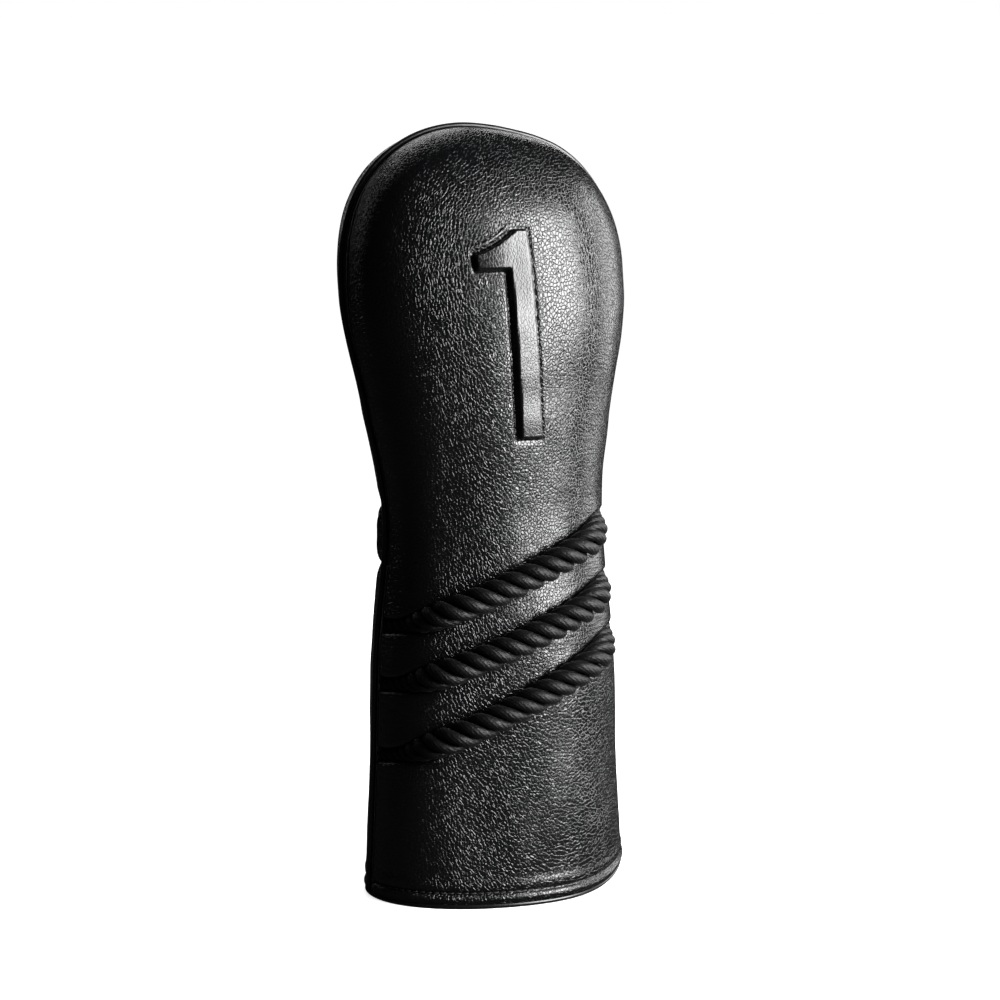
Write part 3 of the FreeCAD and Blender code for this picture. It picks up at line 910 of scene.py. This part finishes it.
def softbox(name, azimuth, distance, low, high, width, radiance):
    """Upright glowing panel that faces the cover, from one height to another."""
    data = bpy.data.lights.new(name, "AREA")
    data.shape = "RECTANGLE"
    data.size, data.size_y = width, high - low
    data.energy = radiance * math.pi * width * (high - low)
    lamp = bpy.data.objects.new(name, data)
    turn = math.radians(azimuth)
    back = Vector((math.sin(turn), -math.cos(turn), 0))
    lamp.location = back * distance + Vector((0, 0, (low + high) / 2))
    lamp.rotation_euler = (-back).to_track_quat("-Z", "Y").to_euler()
    bpy.context.scene.collection.objects.link(lamp)


def floor():
    """Pale paper: white to the camera but for the shadow under the cover, and dim in reflections."""
    size = 60.0
    mesh = bpy.data.meshes.new("floor")
    corners = [(-size, -size, 0), (size, -size, 0), (size, size, 0), (-size, size, 0)]
    mesh.from_pydata(corners, [], [(0, 1, 2, 3)])
    plane = bpy.data.objects.new("floor", mesh)
    bpy.context.scene.collection.objects.link(plane)
    made, tree, shader = material("floor_paper", (0.9, 0.9, 0.9), 0.9)
    shader.inputs["Specular IOR Level"].default_value = 0.0
    path = tree.nodes.new("ShaderNodeLightPath")
    glow = tree.nodes.new("ShaderNodeEmission")
    glow.inputs["Strength"].default_value = 0.70
    lit = tree.nodes.new("ShaderNodeAddShader")
    link(tree, shader.outputs[0], lit.inputs[0])
    link(tree, glow.outputs[0], lit.inputs[1])
    dim = tree.nodes.new("ShaderNodeBsdfDiffuse")
    dim.inputs["Color"].default_value = (0.03, 0.03, 0.03, 1)
    either = tree.nodes.new("ShaderNodeMixShader")
    link(tree, path.outputs["Is Camera Ray"], either.inputs[0])
    link(tree, dim.outputs[0], either.inputs[1])
    link(tree, lit.outputs[0], either.inputs[2])
    link(tree, either.outputs[0], tree.nodes["Material Output"].inputs["Surface"])
    dress(plane, made)


def world():
    """White behind the cover, and nearly black in its reflections."""
    made = bpy.data.worlds.new("studio")
    bpy.context.scene.world = made
    made.use_nodes = True
    tree = made.node_tree
    background = tree.nodes["Background"]
    path = tree.nodes.new("ShaderNodeLightPath")
    shade = tree.nodes.new("ShaderNodeMix")
    shade.data_type = "RGBA"
    shade.inputs[6].default_value = (0.01, 0.01, 0.01, 1)
    shade.inputs[7].default_value = (1, 1, 1, 1)
    link(tree, path.outputs["Is Camera Ray"], shade.inputs[0])
    link(tree, shade.outputs[2], background.inputs["Color"])


def daylight():
    """Wide soft light from above, which adds no highlight to the leather."""
    data = bpy.data.lights.new("daylight", "SUN")
    data.energy = 1.25
    data.angle = math.radians(70)
    sun = bpy.data.objects.new("daylight", data)
    sun.visible_glossy = False
    bpy.context.scene.collection.objects.link(sun)


LAMPS = (  # name, azimuth, distance, lowest and highest point, width, radiance
    ("key", 36, 0.75, 0.04, 0.75, 0.38, 28),
    ("side", 92, 0.75, 0.04, 0.75, 0.44, 7),
    ("rim", 160, 0.8, 0.05, 0.6, 0.25, 4),
    ("edge", -158, 0.8, 0.30, 0.7, 0.2, 1),
    ("top", 175, 0.8, 0.60, 1.0, 0.4, 3.5),
)

set_camera()
world()
floor()
bpy.context.scene.view_settings.view_transform = "Standard"
for lamp in LAMPS:
    softbox(*lamp)
daylight()

leather = pebbled_leather()
plain_leather = smooth_leather()
yarn = rope_yarn()
black_thread = thread()
pile = plush()
pad_foam = foam()
cord_yarn = woven("filler_cord", (0.75, 0.74, 0.7), 1.0 * MM)
elastic_yarn = woven("elastic", (0.04, 0.04, 0.042), 1.2 * MM)

front_leather = front_panel()
back_leather = back_panel()
dress(front_leather, leather)
dress(back_leather, leather)
dress(piping("piping_roll", "seam_piping", 2.5 * MM), plain_leather)
dress(piping("piping_filler", "piping_cord", 1.1 * MM), cord_yarn)
dress(hem_binding(), plain_leather)
for rope in ROPES:
    dress(rope_strands(*rope), yarn)
dress(hem_stitches(), black_thread)
dress(waist_stitches(), black_thread)

LINING_LOW = float(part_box("front_lining")[0][2])
PADS = (  # piece, node, bottom and top level, first and last angle
    ("front_pad", "front_padding", HEM, HEIGHT, 180, 360),
    ("skirt_pad", "back_skirt_padding", HEM, ELASTIC_LOW, 0, 180),
    ("head_pad", "back_head_padding", ELASTIC_HIGH, HEIGHT, 0, 180),
)
LININGS = (  # piece, node, first and last angle, flat size, its area, and the pad that it rests on
    ("front_plush", "front_lining", 180, 360, (0.171, 0.312), 0.0457, "front_pad"),
    ("back_plush", "back_lining", 0, 180, (0.166, 0.312), 0.0446, "head_pad"),
)
PILE_ROUGH = 0.35 * MM

for name, node, bottom, top, first, last in PADS:
    pad = soft_shell(name, node, (LEATHER, PADDED), bottom, top, first, last)
    dress(pad, pad_foam)
for name, node, first, last, flat, area, rest in LININGS:
    half = soft_shell(name, node, (PADDED, LINED), LINING_LOW, HEIGHT, first, last, PILE_ROUGH)
    dress(half, pile)
turned_in = (PADDED, PADDED + LEATHER)
facing = soft_shell("mouth_facing", "hem_facing", turned_in, HEM, LINING_LOW, 0, 360)
dress(facing, plain_leather)

board = numeral_board()
dress(board, pad_foam)
band = elastic_band()
dress(band, elastic_yarn)
